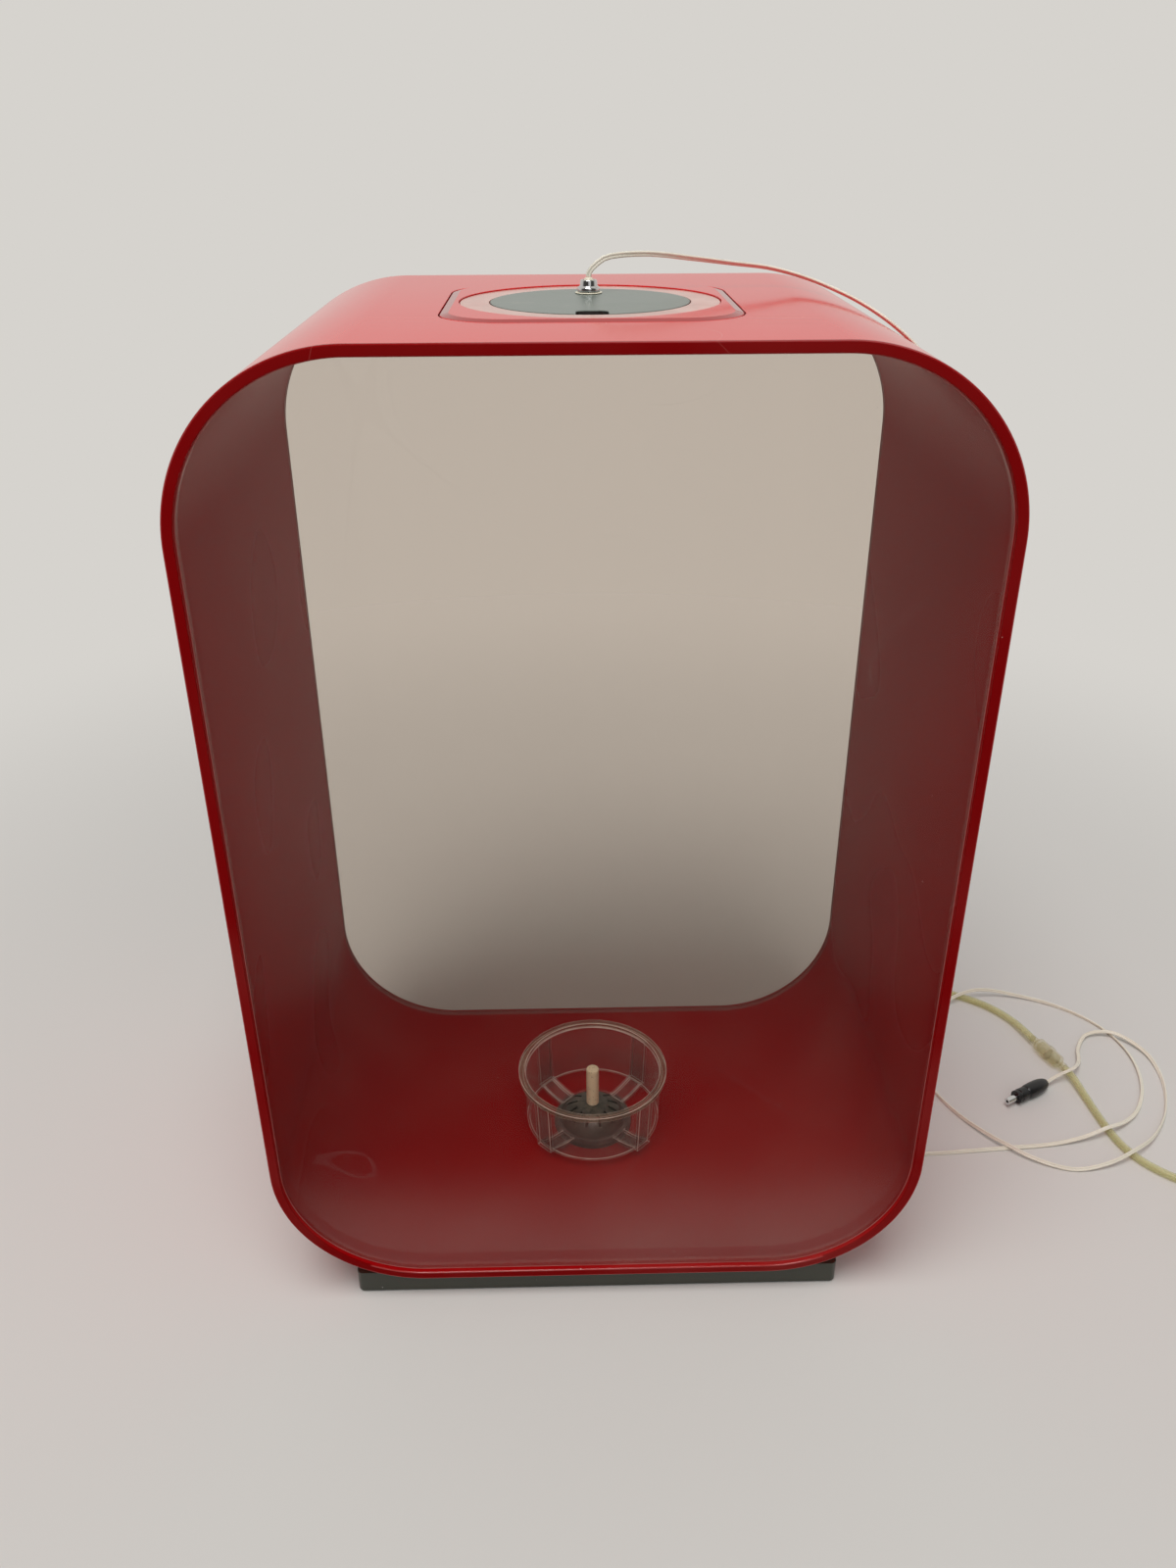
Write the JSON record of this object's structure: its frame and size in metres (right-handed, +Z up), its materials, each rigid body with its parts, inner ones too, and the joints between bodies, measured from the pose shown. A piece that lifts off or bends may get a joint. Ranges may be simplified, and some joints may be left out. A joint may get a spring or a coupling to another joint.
{
  "type": "aquarium tank",
  "caption": "Tall aquarium: a red acrylic band with rounded corners and clear front and rear panels, a lift-off lid with a round light, and a filter cup with an air stone.",
  "frame": {"origin": "on the floor, under the middle of the tank", "axes": "+Z up, -Y towards the front panel, +X to the right seen from the front"},
  "size_m": [0.7253, 0.3378, 0.6468],
  "materials": {
    "red_acrylic": "polished translucent red acrylic",
    "clear_acrylic": "polished clear acrylic",
    "smoked_acrylic": "polished dark smoked acrylic",
    "rubber": "matte black rubber",
    "pale_ring": "pale clear acrylic",
    "grey_cover": "satin grey",
    "light_housing": "off-white",
    "light_metal": "plain aluminium",
    "led": "yellow phosphor",
    "light_lens": "frosted clear",
    "steel": "plain steel",
    "chrome": "bright chrome",
    "cream_plastic": "aged cream",
    "black_plastic": "satin black",
    "dark_filter": "dark smoky plastic",
    "clear_cup": "clear moulded plastic",
    "air_stone": "porous and matte",
    "pale_plastic": "pale plastic",
    "clear_hose": "clear hose, yellowed",
    "clear_valve": "clear moulded plastic",
    "strap": "black strap"
  },
  "bodies": {
    "tank": {"tank_band": "red_acrylic", "front_panel": "clear_acrylic", "rear_panel": "clear_acrylic", "lid_ledge": "clear_acrylic", "plinth": "smoked_acrylic", "front_left_pad": "rubber", "front_right_pad": "rubber", "rear_left_pad": "rubber", "rear_right_pad": "rubber", "bulkhead": "black_plastic", "bulkhead_seal": "rubber", "bulkhead_nut": "black_plastic", "inlet_elbow": "black_plastic", "filter_hub": "dark_filter", "light_lead": "cream_plastic", "lead_plug": "black_plastic", "plug_sleeve": "chrome", "air_line": "clear_hose", "check_valve": "clear_valve", "valve_disc": "pale_plastic", "air_line_tail": "clear_hose", "air_coil": "clear_hose", "coil_tie": "strap"},
    "lid": {"lid_plate": "red_acrylic", "light_flange": "pale_ring", "light_cover": "grey_cover", "light_can": "light_housing", "heat_sink": "light_metal", "led_board": "light_housing", "led_emitter": "led", "light_lens": "light_lens", "lens_gasket": "rubber", "light_screw_1": "steel", "light_screw_2": "steel", "light_screw_3": "steel", "light_screw_4": "steel", "gland_washer": "cream_plastic", "cable_gland": "chrome", "gland_nut": "chrome", "gland_bush": "cream_plastic"},
    "cage": {"filter_cage": "clear_cup"},
    "stone": {"air_stone": "air_stone", "stone_nipple": "pale_plastic"}
  },
  "joints": [
    {"name": "lid_lift", "type": "slide", "parent": "tank", "child": "lid", "axis": [0, 0, 1], "range_m": [0, 0.08], "deforming": ["light_lead"]},
    {"name": "cage_lift", "type": "slide", "parent": "tank", "child": "cage", "axis": [0, 0, 1], "range_m": [0, 0.1]},
    {"name": "stone_pull", "type": "slide", "parent": "tank", "child": "stone", "axis": [0, 0, 1], "range_m": [0, 0.04]}
  ]
}
